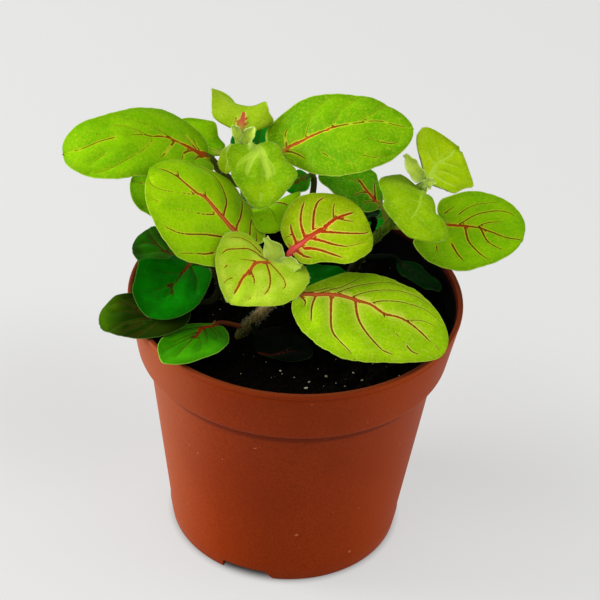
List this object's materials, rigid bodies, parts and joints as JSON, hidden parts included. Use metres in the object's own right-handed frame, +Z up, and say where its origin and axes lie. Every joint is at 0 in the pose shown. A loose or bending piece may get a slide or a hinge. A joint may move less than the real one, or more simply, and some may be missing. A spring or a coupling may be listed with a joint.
{
  "type": "potted nerve plant",
  "caption": "Bushy nerve plant: lime-green leaves with red veins on upright shoots above older dark leaves, growing in soil in a tapered round plastic nursery pot.",
  "frame": {"origin": "on the surface the pot stands on, at the pot's axis, which is the middle of the base of the whole object's box", "axes": "+Z up along the pot's axis, -Y towards the viewer of the picture (the front), +X to the viewer's right"},
  "size_m": [0.1238, 0.09, 0.1291],
  "materials": {
    "pot": "thin terracotta-coloured moulded plastic, satin-matte with a fine mottled grain",
    "soil": "moist dark peat with a few white grains of perlite; fabric stands in for loose soil",
    "stem": "green to brown stem with fine pale hairs; leather stands in for plant tissue",
    "bright_leaf": "lime-green quilted leaf with a red midrib and side veins; leather stands in for plant tissue",
    "green_leaf": "mid-green quilted leaf with reddish veins; leather stands in for plant tissue",
    "dark_leaf": "dark green older leaf with dull red-brown veins; leather stands in for plant tissue",
    "growing_tip": "pale yellow-green young tissue with fine hairs; leather stands in for plant tissue"
  },
  "bodies": {
    "root": {"pot": "pot", "soil": "soil", "top_stem": "stem", "front_stem": "stem", "right_stem": "stem", "left_stem": "stem", "back_stem": "stem", "top_leaf_left": "bright_leaf", "top_leaf_right": "bright_leaf", "top_leaf_front": "bright_leaf", "top_leaf_back": "bright_leaf", "top_leaf_rear_left": "bright_leaf", "top_leaf_lower_front": "bright_leaf", "top_leaf_young": "bright_leaf", "front_leaf_right": "bright_leaf", "front_leaf_back_left": "bright_leaf", "front_leaf_left": "bright_leaf", "front_leaf_back_right": "bright_leaf", "right_leaf_top": "bright_leaf", "right_leaf_front": "bright_leaf", "right_leaf_right": "bright_leaf", "top_leaf_lower_left": "green_leaf", "right_leaf_left": "green_leaf", "low_leaf_front_left": "green_leaf", "low_leaf_back_left": "green_leaf", "top_leaf_lower_back": "dark_leaf", "right_leaf_lower_left": "dark_leaf", "back_leaf_top": "dark_leaf", "low_leaf_left": "dark_leaf", "low_leaf_rear_left": "dark_leaf", "low_leaf_over_rim": "dark_leaf", "low_leaf_front": "dark_leaf", "low_leaf_middle": "dark_leaf", "low_leaf_right": "dark_leaf", "low_leaf_back": "dark_leaf", "low_leaf_back_right": "dark_leaf", "top_growing_tip": "growing_tip", "front_growing_tip": "growing_tip", "right_growing_tip": "growing_tip"}
  },
  "joints": []
}
